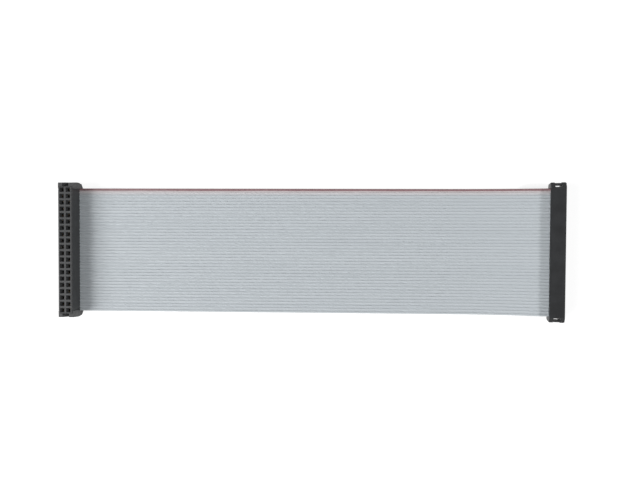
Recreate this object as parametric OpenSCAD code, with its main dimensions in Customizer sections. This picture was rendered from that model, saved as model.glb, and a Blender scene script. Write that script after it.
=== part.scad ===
// Ribbon cable assembly: a flat cable with a two-row insulation-displacement socket on each end.
// The cable runs along X, its striped first conductor lies at +Y, and the table is at Z = 0.
// The left socket stands on its cover with the mating face up, and the ribbon leaves it level.
// The right one is on the other side of the ribbon, so its mating face is down. There the ribbon
// bends up, and the socket leans in and rests on the near edge of its mating face.
// A socket is drawn in axes of its own: u across it, v along it, and w from the ribbon's middle
// plane towards the mating face.

/* [Cable] */
// Contacts in each of a socket's two rows
contacts = 20; // [5:1:25]
// Distance between neighbouring contacts of a row, twice that between conductors
pitch = 2.54; // [2.4:0.01:3]
// Length of the ribbon, from one cut end to the other
cable_len = 201; // [180:0.5:600]
// Radius of the bend that lifts the ribbon to the right socket
bend_r = 175; // [120:5:400]
// Thickness of the insulation round a conductor
insulation_d = 0.9; // [0.75:0.01:1.1]
// Thickness of the web between two conductors
web_t = 0.36; // [0.2:0.01:0.44]
// Diameter of a stranded conductor
wire_d = 0.38; // [0.28:0.01:0.45]

/* [Socket body] */
// Width of the body
body_w = 5.6; // [5.2:0.1:7]
// Height of the mating face over the ribbon's middle plane
body_h = 7.7; // [6.9:0.1:9]
// Plastic past the last contact of a row
end_wall = 1.42; // [1.4:0.01:3]
// Depth of the latch channel past that plastic
latch_depth = 1.95; // [1.5:0.05:2.5]
// Wall that the pins pass through at the mating face
mating_wall = 1.3; // [1.1:0.05:2]
// Chamfer round the mating face
mating_chamfer = 0.3; // [0.1:0.05:0.5]
// Square hole for a pin
pin_hole = 0.85; // [0.7:0.01:1]
// Mouth of the funnel over a pin hole
funnel_mouth = 1.8; // [1.1:0.05:1.9]
// Depth of that funnel
funnel_depth = 1; // [0.3:0.05:1.05]
// Height of the ridges between conductors over the ribbon's middle plane
seat_gap = 0.26; // [0.23:0.01:0.35]
// How far the end blocks stand proud of the long sides
block_proud = 0.12; // [0.05:0.01:0.3]
// Length of an end block along the long side, in from the latch channel
block_side = 1; // [0.5:0.05:2]
// How far an end block's top stays below the mating face
block_drop = 0.4; // [0.3:0.05:2]
// Height of the upright part of an end block
block_upright = 2.2; // [1:0.1:4]
// How far an end block is drawn in from there to its top
block_draft = 0.5; // [0.1:0.05:0.8]
// Chamfer on the upright corners of an end block
block_corner = 0.3; // [0.1:0.05:0.6]
// Width of the groove beside an end block
groove_w = 0.25; // [0.1:0.05:0.5]
// Depth of that groove
groove_depth = 0.2; // [0.1:0.05:0.4]

/* [Socket cover] */
// Width of the cover
cover_w = 5.7; // [5:0.1:7]
// Depth of the cover's back below the ribbon's middle plane
cover_h = 3.2; // [2.6:0.1:5]
// Chamfer along the two long edges of the back
back_chamfer = 0.35; // [0.1:0.05:0.8]
// Height of the upright part of the cover's ends
end_h = 1.4; // [1:0.1:2.4]
// How far the sloped ends cut into the back
end_slope = 2; // [0.5:0.1:3]
// Width of a latch arm
arm_w = 2.5; // [2.2:0.1:3.2]
// Thickness of a latch arm
arm_t = 0.85; // [0.5:0.05:1.1]
// How far a latch arm, and with it the cover, sits back from the end of the body
arm_recess = 0.35; // [0.1:0.05:0.5]
// Reach of a latch arm past the ribbon's middle plane
arm_reach = 1.7; // [1.4:0.1:3]
// How far a latch barb stands out sideways
barb = 0.28; // [0.15:0.01:0.45]
// Height of a latch barb
barb_h = 0.7; // [0.4:0.05:1]

/* [Contacts] */
// Thickness of the sheet that the contacts are stamped from
sheet_t = 0.28; // [0.2:0.01:0.32]
// Width of the fork that cuts into the ribbon
fork_w = 1; // [0.8:0.01:1.1]
// Reach of the fork's tips past the ribbon's middle plane
fork_reach = 1.35; // [1:0.05:2]
// Height of the pointed tips
fork_tip = 0.45; // [0.2:0.05:0.6]
// Depth of the fork's slot past the insulation
fork_slot_depth = 0.3; // [0.1:0.05:0.6]
// Sheet left between the end of the slot and the base
fork_root = 0.35; // [0.2:0.05:0.6]
// Height of the base that joins the fork to the pin beams
base_h = 0.55; // [0.3:0.05:0.8]
// Width of a pin beam
beam_w = 0.8; // [0.5:0.05:1]
// Distance across the two pin beams at their root
beam_spread = 1.5; // [1.3:0.05:1.6]
// Gap between the two pin beams where they grip
grip_gap = 0.44; // [0.2:0.01:0.6]
// Gap between the tips of the two pin beams
flare_gap = 0.84; // [0.65:0.01:0.9]
// Height of the flared tips of the pin beams
flare_h = 0.8; // [0.4:0.05:1.2]

/* [Fits] */
// Clearance round the contacts, the insulation and the latches
fit = 0.03; // [0.01:0.005:0.06]
// Clearance beside the ribbon's edges
edge_fit = 0.1; // [0.05:0.01:0.15]
// Clearance between a conductor and each side of its fork
fork_fit = 0.005; // [0.002:0.001:0.01]

/* [Hidden] */
// Facets of the small round forms, and of a whole turn of the ribbon's bend
round_fn = 48;
bend_fn = 720;
// Overrun of a cut past the face that it opens
over = 1;

// Ribbon
wires = 2 * contacts;
wire_pitch = pitch / 2;
ribbon_half = (wires - 1) * wire_pitch / 2 + insulation_d / 2;

// Socket lengths along v and places along w
row_span = (contacts - 1) * pitch;
core_half = row_span / 2 + end_wall;
socket_half = core_half + latch_depth;
slot_half = ribbon_half + edge_fit;
arm_outer = socket_half - arm_recess;
arm_inner = arm_outer - arm_t;
channel_half = arm_w / 2 + fit;
block_half = body_w / 2 + block_proud;
block_inner = core_half - block_side;
block_top = body_h - block_drop;
cavity_top = body_h - mating_wall;

// Contact, from the fork's tips to the beams' tips
fork_v = wire_pitch / 2;
fork_slot = wire_d + 2 * fork_fit;
fork_slot_end = insulation_d / 2 + fork_slot_depth;
base_low = fork_slot_end + fork_slot / 2 + fork_root;
base_top = base_low + base_h;
beam_tip = cavity_top - fit;
beam_grip = beam_tip - flare_h;

// Lean of the right socket, which the bend runs into and which stands on the near edge of its
// mating face
foot = body_w / 2 - mating_chamfer;
lean = acos((bend_r + cover_h) / norm([bend_r + body_h, foot])) + atan2(foot, bend_r + body_h);
stub_angle = body_w / 2 / bend_r * 180 / PI;

// How far the bend makes the ribbon stray from the right socket's straight slot
stray = pow(body_w / 2, 2) / (2 * bend_r);

// Level run from the middle of the left socket to the bend, and from there to the right socket's
run_len = cable_len - body_w - bend_r * lean * PI / 180;
rise_x = bend_r * sin(lean);

// Reach of each socket past its middle, and the left one's place that centres the whole length
left_reach = max(block_half, cover_w / 2);
right_reach = max(block_half * cos(lean) + block_top * sin(lean),
                  body_w / 2 * cos(lean) + (body_h - mating_chamfer) * sin(lean));
left_x = (left_reach - right_reach - run_len - rise_x) / 2;

socket_colour = [0.17, 0.175, 0.18];
cover_colour = [0.15, 0.155, 0.16];
ribbon_colour = [0.70, 0.72, 0.74];
contact_colour = [0.80, 0.66, 0.36];
wire_colour = [0.74, 0.70, 0.66];

function conductor_name(i) = str("conductor_", i < 10 ? "0" : "", i);
function wire_v(i) = (wires + 1 - 2 * i) * wire_pitch / 2;
function row_v(i) = (i - (contacts - 1) / 2) * pitch;

// Placing

// The axis that the ribbon bends round
module at_bend() translate([left_x + run_len, 0, cover_h + bend_r]) children();

// The left socket's own axes, and the right one's, which is turned over
module at_left() translate([left_x, 0, cover_h]) children();

module at_right() at_bend() rotate([0, 180 - lean, 0]) translate([0, 0, bend_r]) children();

// A profile drawn in v and w, given a width across the socket
module across(width) rotate([90, 0, 90]) translate([0, 0, -width / 2]) linear_extrude(width) children();

// A profile drawn in u and w, given a length along the socket
module along(length) rotate([90, 0, 0]) translate([0, 0, -length / 2]) linear_extrude(length) children();

// A plan drawn in u and v, raised from one height to another
module raised(low, high) translate([0, 0, low]) linear_extrude(high - low) children();

module at_rows() for (i = [0:contacts - 1]) translate([row_v(i), 0]) children();

module at_wires() for (i = [1:wires]) translate([wire_v(i), 0]) children();

// A plan drawn at one contact of the inner row, repeated over both rows
module at_contacts() for (turn = [0, 180], i = [0:contacts - 1])
  rotate(turn) translate([pitch / 2, row_v(i)]) children();

// Both ends of a socket, and all four of its corners
module both_ends() for (side = [0, 1]) mirror([0, side, 0]) children();

module four_corners() for (side = [0, 1]) mirror([side, 0, 0]) both_ends() children();

// Ribbon

module ribbon_section() difference() {
  union() {
    square([2 * wire_v(1), web_t], center = true);
    at_wires() circle(d = insulation_d, $fn = round_fn);
  }
  at_wires() circle(d = wire_d, $fn = round_fn);
}

// A section carried from the left cut end along the level run, then round the bend to the right one
module along_route() {
  at_left() translate([-body_w / 2, 0, 0]) rotate([90, 0, 90])
    linear_extrude(body_w / 2 + run_len) children();
  at_bend() rotate([90, 0, 0])
    rotate_extrude(angle = lean + stub_angle, start = 270, $fn = bend_fn)
      translate([bend_r, 0]) rotate(-90) children();
}

// The plan of every fork, with clearance
module fork_plan() at_contacts() translate([0, fork_v])
  square([sheet_t, fork_w] + 2 * fit * [1, 1], center = true);

// The insulation that the forks push out of their way
module fork_slits() raised(-insulation_d, insulation_d) fork_plan();

module ribbon_insulation() color(ribbon_colour) difference() {
  along_route() ribbon_section();
  at_left() fork_slits();
  at_right() fork_slits();
}

module conductor(i) color(wire_colour)
  along_route() translate([wire_v(i), 0]) circle(d = wire_d, $fn = round_fn);

// Socket body

// The space for the ribbon between body and cover, in v and w: a slot with a groove per conductor
module ribbon_slot_profile() {
  square([2 * slot_half, 2 * seat_gap], center = true);
  at_wires() circle(d = insulation_d + 2 * (fit + stray), $fn = round_fn);
}

module body_side_profile() polygon([
  [-core_half, 0], [core_half, 0],
  [core_half, body_h - mating_chamfer], [core_half - mating_chamfer, body_h],
  [mating_chamfer - core_half, body_h], [-core_half, body_h - mating_chamfer]]);

module body_end_profile() polygon([
  [-body_w / 2, 0], [body_w / 2, 0],
  [body_w / 2, body_h - mating_chamfer], [body_w / 2 - mating_chamfer, body_h],
  [mating_chamfer - body_w / 2, body_h], [-body_w / 2, body_h - mating_chamfer]]);

// The block at an end of the body: upright beside the latch arm, then drawn in towards its top
module end_block() intersection() {
  across(2 * block_half) polygon([
    [block_inner, 0], [socket_half, 0], [socket_half, block_upright],
    [socket_half - block_draft, block_top], [block_inner, block_top]]);
  raised(0, block_top) polygon([
    [-block_half, block_inner], [block_half, block_inner],
    [block_half, socket_half - block_corner], [block_half - block_corner, socket_half],
    [block_corner - block_half, socket_half], [-block_half, socket_half - block_corner]]);
}

module corner_groove() translate([body_w / 2 - groove_depth, block_inner - groove_w, -over])
  cube([groove_depth + over, groove_w, body_h + 2 * over]);

// The channel that a latch arm slides up, which splits an end block into two posts
module latch_channel() translate([-channel_half, core_half, -over])
  cube([2 * channel_half, latch_depth + over, body_h + 2 * over]);

// The notch beside the channel that takes the barb of a latch arm
module barb_notch() translate([channel_half - over, arm_inner - fit, arm_reach - barb_h - fit])
  cube([over + barb, socket_half + over - arm_inner + fit, barb_h + 2 * fit]);

// A pin's way in, as a profile: the funnel at the mating face, then the square hole
module pin_profile() polygon([
  [-pin_hole / 2, cavity_top - over], [pin_hole / 2, cavity_top - over],
  [pin_hole / 2, body_h - funnel_depth], [funnel_mouth / 2, body_h],
  [funnel_mouth / 2, body_h + over], [-funnel_mouth / 2, body_h + over],
  [-funnel_mouth / 2, body_h], [-pin_hole / 2, body_h - funnel_depth]]);

// All the pin holes, where the rows of profiles cross
module pin_holes() intersection() {
  across(body_w) at_rows() pin_profile();
  along(2 * core_half) for (side = [-1, 1]) translate([side * pitch / 2, 0]) pin_profile();
}

// The space for the pin beams, and the narrow one for the fork, which ends at the base's ledge
module contact_cavities() {
  raised(-over, cavity_top) at_contacts()
    square([beam_w, beam_spread] + 2 * fit * [1, 1], center = true);
  raised(-over, base_top) fork_plan();
}

module socket_body() color(socket_colour) difference() {
  union() {
    intersection() {
      across(body_w) body_side_profile();
      along(2 * core_half) body_end_profile();
    }
    both_ends() end_block();
  }
  across(2 * block_half + over) ribbon_slot_profile();
  contact_cavities();
  pin_holes();
  four_corners() corner_groove();
  both_ends() latch_channel();
  four_corners() barb_notch();
}

// Socket cover

module cover_side_profile() polygon([
  [-arm_outer, 0], [-arm_outer, -end_h], [end_slope - arm_outer, -cover_h],
  [arm_outer - end_slope, -cover_h], [arm_outer, -end_h], [arm_outer, 0]]);

module cover_end_profile() polygon([
  [-cover_w / 2, 0], [-cover_w / 2, back_chamfer - cover_h], [back_chamfer - cover_w / 2, -cover_h],
  [cover_w / 2 - back_chamfer, -cover_h], [cover_w / 2, back_chamfer - cover_h], [cover_w / 2, 0]]);

// A latch arm in u and w: a strap that ends in two sloped barbs
module latch_profile() polygon([
  [-arm_w / 2, -end_h / 2], [arm_w / 2, -end_h / 2],
  [arm_w / 2, arm_reach - barb_h], [arm_w / 2 + barb, arm_reach - barb_h],
  [arm_w / 2, arm_reach], [-arm_w / 2, arm_reach],
  [-arm_w / 2 - barb, arm_reach - barb_h], [-arm_w / 2, arm_reach - barb_h]]);

module latch_arm() translate([0, (arm_inner + arm_outer) / 2, 0]) along(arm_t) latch_profile();

// The window behind a latch arm
module cover_window() translate([-arm_w / 2, core_half, -cover_h - over])
  cube([arm_w, arm_inner - core_half, cover_h + 2 * over]);

module fork_pockets() raised(-fork_reach - fit, over) fork_plan();

module socket_cover() color(cover_colour) union() {
  difference() {
    intersection() {
      across(cover_w) cover_side_profile();
      along(2 * arm_outer) cover_end_profile();
    }
    across(cover_w + over) ribbon_slot_profile();
    fork_pockets();
    both_ends() cover_window();
  }
  both_ends() latch_arm();
}

// Contacts

// The fork in v and w: two pointed tines with the conductor's slot between, on an offset base
module fork_profile() difference() {
  union() {
    polygon([
      [fork_v - fork_w / 2, base_top], [fork_v - fork_w / 2, fork_tip - fork_reach],
      [fork_v - fork_w / 4, -fork_reach], [fork_v + fork_w / 4, -fork_reach],
      [fork_v + fork_w / 2, fork_tip - fork_reach], [fork_v + fork_w / 2, base_top]]);
    translate([-beam_spread / 2, base_low]) square([beam_spread / 2 + fork_v, base_h]);
  }
  translate([fork_v - fork_slot / 2, -fork_reach - over])
    square([fork_slot, fork_reach + over + fork_slot_end]);
  translate([fork_v, fork_slot_end]) circle(d = fork_slot, $fn = round_fn);
  polygon([
    [fork_v - fork_w / 4, -fork_reach], [fork_v + fork_w / 4, -fork_reach],
    [fork_v, fork_tip - fork_reach]]);
}

// A pin beam in v and w: leans in from the base to the grip, then flares at its tip
module beam_profile() polygon([
  [beam_spread / 2 - sheet_t, base_low], [beam_spread / 2, base_low], [beam_spread / 2, base_top],
  [grip_gap / 2 + sheet_t, beam_grip], [flare_gap / 2 + sheet_t / 2, beam_tip],
  [flare_gap / 2, beam_tip], [grip_gap / 2, beam_grip], [beam_spread / 2 - sheet_t, base_top]]);

module contact() union() {
  across(sheet_t) fork_profile();
  across(beam_w) {
    translate([-beam_spread / 2, base_low]) square([beam_spread, base_h]);
    for (side = [0, 1]) mirror([side, 0]) beam_profile();
  }
}

// One row of contacts: the inner row faces the other socket, and the outer one is it turned round
module contact_row(turn) color(contact_colour) rotate(turn)
  for (i = [0:contacts - 1]) translate([pitch / 2, row_v(i), 0]) contact();

// Drawing

at_left() socket_body();  // left_socket_body
at_left() socket_cover();  // left_socket_cover
at_left() contact_row(0);  // left_contacts_inner
at_left() contact_row(180);  // left_contacts_outer
at_right() socket_body();  // right_socket_body
at_right() socket_cover();  // right_socket_cover
at_right() contact_row(0);  // right_contacts_inner
at_right() contact_row(180);  // right_contacts_outer
ribbon_insulation();
for (i = [1:wires]) conductor(i);
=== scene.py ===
"""Looks of the ribbon cable assembly: its finishes, light and camera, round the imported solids."""
import math

import bmesh
import bpy
from mathutils import Matrix, Vector


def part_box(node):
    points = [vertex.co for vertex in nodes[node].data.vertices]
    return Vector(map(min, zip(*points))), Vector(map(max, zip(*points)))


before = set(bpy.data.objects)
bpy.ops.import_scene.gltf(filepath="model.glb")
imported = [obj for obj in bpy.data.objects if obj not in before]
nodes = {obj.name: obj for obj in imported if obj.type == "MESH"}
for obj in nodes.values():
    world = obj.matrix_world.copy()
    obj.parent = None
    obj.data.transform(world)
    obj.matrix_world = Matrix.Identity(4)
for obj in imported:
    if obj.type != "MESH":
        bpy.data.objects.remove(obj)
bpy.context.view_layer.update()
scene = bpy.context.scene
scene.view_settings.view_transform = "Standard"

MM = 0.001
SIDES = ("left", "right")
WHITE = (1, 1, 1, 1)

# Camera: close above the cable, looking almost straight down
IMAGE_W = 630
FOCAL_PX = 591.6
SENSOR_W = 36.0
CAMERA_AT = Vector((11.12, 6.29, 243.39)) * MM
CAMERA_SWING = math.radians(2.288)
CAMERA_NOD = math.radians(-1.403)
CAMERA_ROLL = math.radians(0.275)

# Ribbon, as the solids have it, and its webs, where shade is painted, as shares of the pitch from a
# ridge's middle
WIRE_PITCH = 1.27 * MM
RIDGE_D = 0.9 * MM
RIDGE_MIDDLE = 0.5
WEB_FROM = 0.30
WEB_TO = 0.42

# Black plastic of the sockets: linear colours, least and most roughness, scales of noise per metre
SOCKET_DARK = (0.030, 0.031, 0.032, 1)
SOCKET_PALE = (0.042, 0.043, 0.044, 1)
SOCKET_SHINE = 0.3
SOCKET_ROUGH = (0.40, 0.52)
SOCKET_GRAIN = 3800.0
SOCKET_GRAIN_DEPTH = 0.012 * MM
COVER_DARK = (0.014, 0.0145, 0.0155, 1)
COVER_PALE = (0.021, 0.022, 0.0235, 1)
COVER_SHINE = 0.2
COVER_ROUGH = (0.34, 0.46)
COVER_GRAIN = 3000.0
COVER_GRAIN_DEPTH = 0.008 * MM
PLASTIC_MOTTLE = 220.0
PLASTIC_GRAIN_SHARE = 0.35

# Grey vinyl of the ribbon, in the same terms
VINYL_PALE = (0.50, 0.535, 0.56, 1)
VINYL_DULL = (0.45, 0.485, 0.51, 1)
# painted shade: the webs between the ridges get a darker grey, as shade falls there
WEB_SHADE_GREY = (0.42, 0.45, 0.475, 1)
VINYL_ROUGH = (0.42, 0.54)
VINYL_GRAIN = 1500.0
VINYL_MOTTLE = 60.0
VINYL_LINES = 1800.0
VINYL_STRETCH = (0.02, 1, 0.02)
WIRE_SHARE = 0.5

# Stripe: its red, how far its inner side wanders and fades, and the haze that spreads in from it
STRIPE_RED = (0.200, 0.112, 0.121, 1)
STRIPE_THIN = (0.250, 0.152, 0.161, 1)
STRIPE_WANDER = 0.12 * MM
STRIPE_FADE_IN = 0.06 * MM
STRIPE_FADE_OUT = 0.10 * MM
STRIPE_HAZE = (0.60, 0.46, 0.45, 1)
HAZE_W = 3.2 * MM
HAZE_DEPTH = 0.45

# Metal of the contacts and conductors
GOLD_BRIGHT = (0.85, 0.62, 0.28, 1)
GOLD_DULL = (0.66, 0.46, 0.20, 1)
GOLD_ROUGH = (0.22, 0.36)
GOLD_STRETCH = (1, 1, 0.1)
TIN_BRIGHT = (0.78, 0.76, 0.73, 1)
TIN_DULL = (0.60, 0.56, 0.52, 1)
TIN_ROUGH = (0.28, 0.42)
TIN_STRETCH = (0.05, 1, 1)
METAL_MOTTLE = 600.0
METAL_LINES = 2500.0

# Noise: its layers, and the band of its values that is spread from 0 to 1
SLOW_DETAIL = 2.0
FINE_DETAIL = 3.0
PLAIN_ROUGHNESS = 0.5
GRAIN_ROUGHNESS = 0.6
NOISE_LOW = 0.3
NOISE_HIGH = 0.7
LINE_DEPTH = 0.004 * MM
LINE_STRENGTH = 0.5

# Floor and light, in metres and watts
FLOOR_HALF = 3.0
FLOOR_DROP = 0.02 * MM
FLOOR_BOUNCE = (0.8, 0.8, 0.8, 1)
FLOOR_SEEN = (0.3, 0.3, 0.3, 1)
FLOOR_GLOW = 0.82
FAR_GLOW = 1.0
GLOW_FROM = 0.3
GLOW_TO = 1.0
SKY_LIGHT = 0.16
SKY_SEEN = 1.0
KEY_AT = Vector((-1.2, -0.38, 1.05))
KEY_SIDE = 1.0
KEY_POWER = 26.4
FILL_AT = Vector((2.3, -0.14, 2.5))
FILL_SIDE = 0.5
FILL_POWER = 52.0


# Nodes of a shader tree

def put(tree, kind, settings=(), **inputs):
    """A new node. Inputs are values, or sockets to link from, by the socket's name."""
    node = tree.nodes.new(kind)
    for name, value in dict(settings).items():
        setattr(node, name, value)
    for name, value in inputs.items():
        feed(tree, node.inputs[name.replace("_", " ")], value)
    return node


def feed(tree, socket, value):
    """Links a socket to another, or sets its value."""
    if isinstance(value, bpy.types.NodeSocket):
        tree.links.new(value, socket)
    else:
        socket.default_value = value


def calc(tree, operation, *values):
    """The output of a Math node."""
    node = put(tree, "ShaderNodeMath", {"operation": operation})
    for socket, value in zip(node.inputs, values):
        feed(tree, socket, value)
    return node.outputs[0]


def weigh(tree, first, second, share):
    """A share of the first value, and the rest of the second."""
    return calc(tree, "MULTIPLY_ADD", first, share, calc(tree, "MULTIPLY", second, 1 - share))


def ramp(tree, value, low, high):
    """0 below low, 1 above high, smooth between."""
    node = put(tree, "ShaderNodeMapRange", {"interpolation_type": "SMOOTHSTEP"},
               Value=value, From_Min=low, From_Max=high)
    return node.outputs["Result"]


def span(tree, value, low, high):
    """A value from 0 to 1 spread over another range."""
    return put(tree, "ShaderNodeMapRange", Value=value, To_Min=low, To_Max=high).outputs["Result"]


def blend_colours(tree, factor, first, second):
    """The first colour at factor 0, the second at 1."""
    node = put(tree, "ShaderNodeMix", {"data_type": "RGBA"})
    feed(tree, node.inputs["Factor"], factor)
    colours = [socket for socket in node.inputs if socket.type == "RGBA"]
    feed(tree, colours[0], first)
    feed(tree, colours[1], second)
    return next(socket for socket in node.outputs if socket.type == "RGBA")


def noise(tree, vector, scale, detail, roughness=PLAIN_ROUGHNESS):
    """Noise, with the middle band of its values spread from 0 to 1."""
    node = put(tree, "ShaderNodeTexNoise", Vector=vector, Scale=scale, Detail=detail, Roughness=roughness)
    return ramp(tree, node.outputs["Fac"], NOISE_LOW, NOISE_HIGH)


def new_group(name, inputs, outputs):
    """An empty shader node group with float or vector sockets, and its two end nodes."""
    group = bpy.data.node_groups.new(name, "ShaderNodeTree")
    for socket, kind in inputs:
        group.interface.new_socket(socket, in_out="INPUT", socket_type=kind)
    for socket, kind in outputs:
        group.interface.new_socket(socket, in_out="OUTPUT", socket_type=kind)
    return group, group.nodes.new("NodeGroupInput"), group.nodes.new("NodeGroupOutput")


def use_group(tree, group, **inputs):
    """The outputs of a group that is placed in a material with its own values."""
    return put(tree, "ShaderNodeGroup", {"node_tree": group}, **inputs).outputs


def new_material(name):
    """A material, its tree, its shader and the object's own coordinates."""
    material = bpy.data.materials.new(name)
    material.use_nodes = True
    tree = material.node_tree
    shader = tree.nodes["Principled BSDF"]
    place = tree.nodes.new("ShaderNodeTexCoord").outputs["Object"]
    return material, tree, shader, place


def bump(tree, shader, height, depth, strength=1.0):
    """Shades a surface as if a height of 1 stood out by depth."""
    node = put(tree, "ShaderNodeBump", Height=height, Distance=depth, Strength=strength)
    feed(tree, shader.inputs["Normal"], node.outputs["Normal"])


# Effects that several finishes share

FLOAT = "NodeSocketFloat"
VECTOR = "NodeSocketVector"


def make_grain():
    """A fine grain and a slow mottle, each from 0 to 1."""
    group, start, end = new_group(
        "surface grain",
        [("Place", VECTOR), ("Grain Scale", FLOAT), ("Mottle Scale", FLOAT)],
        [("Grain", FLOAT), ("Mottle", FLOAT)])
    place = start.outputs["Place"]
    grain = noise(group, place, start.outputs["Grain Scale"], FINE_DETAIL, GRAIN_ROUGHNESS)
    mottle = noise(group, place, start.outputs["Mottle Scale"], SLOW_DETAIL)
    feed(group, end.inputs["Grain"], grain)
    feed(group, end.inputs["Mottle"], mottle)
    return group


def make_draw_lines():
    """Fine lines along a drawn, rolled or extruded piece, from 0 to 1."""
    group, start, end = new_group(
        "draw lines",
        [("Place", VECTOR), ("Stretch", VECTOR), ("Scale", FLOAT)],
        [("Lines", FLOAT)])
    stretched = put(group, "ShaderNodeVectorMath", {"operation": "MULTIPLY"})
    feed(group, stretched.inputs[0], start.outputs["Place"])
    feed(group, stretched.inputs[1], start.outputs["Stretch"])
    lines = noise(group, stretched.outputs[0], start.outputs["Scale"], FINE_DETAIL)
    feed(group, end.inputs["Lines"], lines)
    return group


surface_grain = make_grain()
draw_lines = make_draw_lines()


# Finishes

def moulded_plastic(name, dark, pale, shine, rough, grain_scale, grain_depth):
    """Moulded plastic: a fine matt grain, with patches that are a little glossier."""
    material, tree, shader, place = new_material(name)
    texture = use_group(tree, surface_grain, Place=place,
                        Grain_Scale=grain_scale, Mottle_Scale=PLASTIC_MOTTLE)
    shade = weigh(tree, texture["Grain"], texture["Mottle"], PLASTIC_GRAIN_SHARE)
    feed(tree, shader.inputs["Base Color"], blend_colours(tree, shade, dark, pale))
    feed(tree, shader.inputs["Roughness"], span(tree, texture["Mottle"], *rough))
    shader.inputs["Specular IOR Level"].default_value = shine
    bump(tree, shader, texture["Grain"], grain_depth)
    return material


def striped_vinyl():
    """The ribbon: satin grey vinyl, lined along its length, with painted shade in the webs between the
    ridges, and a red first edge.
    """
    material, tree, shader, place = new_material("ribbon vinyl")
    texture = use_group(tree, surface_grain, Place=place,
                        Grain_Scale=VINYL_GRAIN, Mottle_Scale=VINYL_MOTTLE)
    lines = use_group(tree, draw_lines, Place=place, Stretch=VINYL_STRETCH, Scale=VINYL_LINES)["Lines"]
    axes = put(tree, "ShaderNodeSeparateXYZ", Vector=place).outputs

    # Each wire's ridge has a shade of its own
    turns = calc(tree, "DIVIDE", axes["Y"], WIRE_PITCH)
    wire = put(tree, "ShaderNodeTexWhiteNoise", {"noise_dimensions": "1D"}, W=calc(tree, "FLOOR", turns))
    shade = weigh(tree, wire.outputs["Value"], lines, WIRE_SHARE)
    ridge = blend_colours(tree, shade, VINYL_PALE, VINYL_DULL)
    off_ridge = calc(tree, "SUBTRACT", calc(tree, "FRACT", turns), RIDGE_MIDDLE)
    # Painted shade: the webs between the ridges are darkened in the colour
    web_shade = ramp(tree, calc(tree, "ABSOLUTE", off_ridge), WEB_FROM, WEB_TO)
    grey = blend_colours(tree, web_shade, ridge, WEB_SHADE_GREY)

    # The stripe covers the outermost ridge
    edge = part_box("ribbon_insulation")[1].y
    inner = edge - RIDGE_D
    haze = calc(tree, "MULTIPLY", ramp(tree, axes["Y"], edge - HAZE_W, inner), HAZE_DEPTH)
    tinted = blend_colours(tree, haze, grey, STRIPE_HAZE)
    wander = calc(tree, "MULTIPLY_ADD", texture["Mottle"], STRIPE_WANDER, axes["Y"])
    stripe = ramp(tree, wander, inner - STRIPE_FADE_IN, inner + STRIPE_FADE_OUT)
    red = blend_colours(tree, texture["Grain"], STRIPE_RED, STRIPE_THIN)

    feed(tree, shader.inputs["Base Color"], blend_colours(tree, stripe, tinted, red))
    feed(tree, shader.inputs["Roughness"], span(tree, texture["Mottle"], *VINYL_ROUGH))
    bump(tree, shader, lines, LINE_DEPTH, LINE_STRENGTH)
    return material


def metal(name, bright, dull, rough, stretch, raised_lines):
    """Plated metal with the lines of its drawing or rolling, raised or only as a tint."""
    material, tree, shader, place = new_material(name)
    mottle = use_group(tree, surface_grain, Place=place, Mottle_Scale=METAL_MOTTLE)["Mottle"]
    lines = use_group(tree, draw_lines, Place=place, Stretch=stretch, Scale=METAL_LINES)["Lines"]
    shade = calc(tree, "MULTIPLY", lines, mottle)
    feed(tree, shader.inputs["Base Color"], blend_colours(tree, shade, bright, dull))
    feed(tree, shader.inputs["Roughness"], span(tree, lines, *rough))
    shader.inputs["Metallic"].default_value = 1.0
    if raised_lines:
        bump(tree, shader, lines, LINE_DEPTH, LINE_STRENGTH)
    return material


body_plastic = moulded_plastic("socket body plastic", SOCKET_DARK, SOCKET_PALE, SOCKET_SHINE,
                               SOCKET_ROUGH, SOCKET_GRAIN, SOCKET_GRAIN_DEPTH)
cover_plastic = moulded_plastic("socket cover plastic", COVER_DARK, COVER_PALE, COVER_SHINE,
                                COVER_ROUGH, COVER_GRAIN, COVER_GRAIN_DEPTH)
vinyl = striped_vinyl()
gold = metal("contact gold", GOLD_BRIGHT, GOLD_DULL, GOLD_ROUGH, GOLD_STRETCH, raised_lines=True)

# The conductors lie inside the vinyl, where raised lines wouldn't show
tin = metal("conductor tin", TIN_BRIGHT, TIN_DULL, TIN_ROUGH, TIN_STRETCH, raised_lines=False)


def finish_node(name, material):
    """Gives a solid its finish."""
    slots = nodes[name].data.materials
    slots.clear()
    slots.append(material)


for side in SIDES:
    finish_node(f"{side}_socket_body", body_plastic)
    finish_node(f"{side}_socket_cover", cover_plastic)
    finish_node(f"{side}_contacts_inner", gold)
    finish_node(f"{side}_contacts_outer", gold)
finish_node("ribbon_insulation", vinyl)
for name in nodes:
    if name.startswith("conductor"):
        finish_node(name, tin)


# Floor, sky, lamps and camera

def camera_like_rays(tree):
    """1 for rays that the camera, a gloss or a clear surface sends, 0 for light that bounces."""
    path = tree.nodes.new("ShaderNodeLightPath").outputs
    seen = calc(tree, "MAXIMUM", path["Is Camera Ray"], path["Is Glossy Ray"])
    return calc(tree, "MAXIMUM", seen, path["Is Transmission Ray"])


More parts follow.
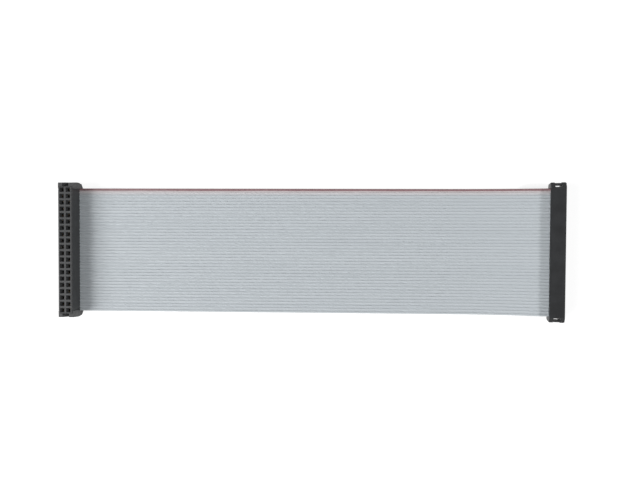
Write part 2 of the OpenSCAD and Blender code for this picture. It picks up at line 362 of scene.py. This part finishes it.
def make_floor():
    """A plain floor that looks white and keeps the cable's shadow. Its glow lights nothing else."""
    mesh = bpy.data.meshes.new("floor")
    plane = bmesh.new()
    bmesh.ops.create_grid(plane, x_segments=1, y_segments=1, size=FLOOR_HALF)
    bmesh.ops.translate(plane, verts=plane.verts, vec=(0, 0, -FLOOR_DROP))
    plane.to_mesh(mesh)
    plane.free()
    floor = bpy.data.objects.new("floor", mesh)
    scene.collection.objects.link(floor)
    material, tree, shader, place = new_material("pale floor")
    seen = camera_like_rays(tree)
    reach = put(tree, "ShaderNodeVectorMath", {"operation": "LENGTH"}, Vector=place)
    far = ramp(tree, reach.outputs["Value"], GLOW_FROM, GLOW_TO)
    glow = span(tree, far, FLOOR_GLOW, FAR_GLOW)
    feed(tree, shader.inputs["Base Color"], blend_colours(tree, seen, FLOOR_BOUNCE, FLOOR_SEEN))
    feed(tree, shader.inputs["Emission Strength"], calc(tree, "MULTIPLY", seen, glow))
    shader.inputs["Emission Color"].default_value = WHITE
    shader.inputs["Roughness"].default_value = 1.0
    shader.inputs["Specular IOR Level"].default_value = 0.0
    mesh.materials.append(material)


def make_sky():
    """A sky that looks white and gives a weak even light."""
    world = bpy.data.worlds.new("studio")
    world.use_nodes = True
    scene.world = world
    tree = world.node_tree
    sky = tree.nodes["Background"]
    sky.inputs["Color"].default_value = WHITE
    feed(tree, sky.inputs["Strength"], span(tree, camera_like_rays(tree), SKY_LIGHT, SKY_SEEN))


def make_lamp(name, at, side, power):
    """A square soft box that faces the middle of the cable."""
    light = bpy.data.lights.new(name, "AREA")
    light.size = side
    light.energy = power
    lamp = bpy.data.objects.new(name, light)
    lamp.matrix_world = Matrix.Translation(at) @ at.to_track_quat("Z", "Y").to_matrix().to_4x4()
    lamp.visible_camera = False
    scene.collection.objects.link(lamp)


def make_camera():
    """The camera, from the focal length in pixels and its place and turns."""
    lens = bpy.data.cameras.new("camera")
    lens.sensor_fit = "HORIZONTAL"
    lens.sensor_width = SENSOR_W
    lens.lens = SENSOR_W * FOCAL_PX / IMAGE_W
    lens.clip_start = MM
    camera = bpy.data.objects.new("camera", lens)
    turn = Matrix.Rotation(CAMERA_SWING, 4, "Y") @ Matrix.Rotation(CAMERA_NOD, 4, "X")
    camera.matrix_world = Matrix.Translation(CAMERA_AT) @ turn @ Matrix.Rotation(CAMERA_ROLL, 4, "Z")
    scene.collection.objects.link(camera)
    scene.camera = camera


make_floor()
make_sky()
make_lamp("key", KEY_AT, KEY_SIDE, KEY_POWER)
make_lamp("fill", FILL_AT, FILL_SIDE, FILL_POWER)
make_camera()
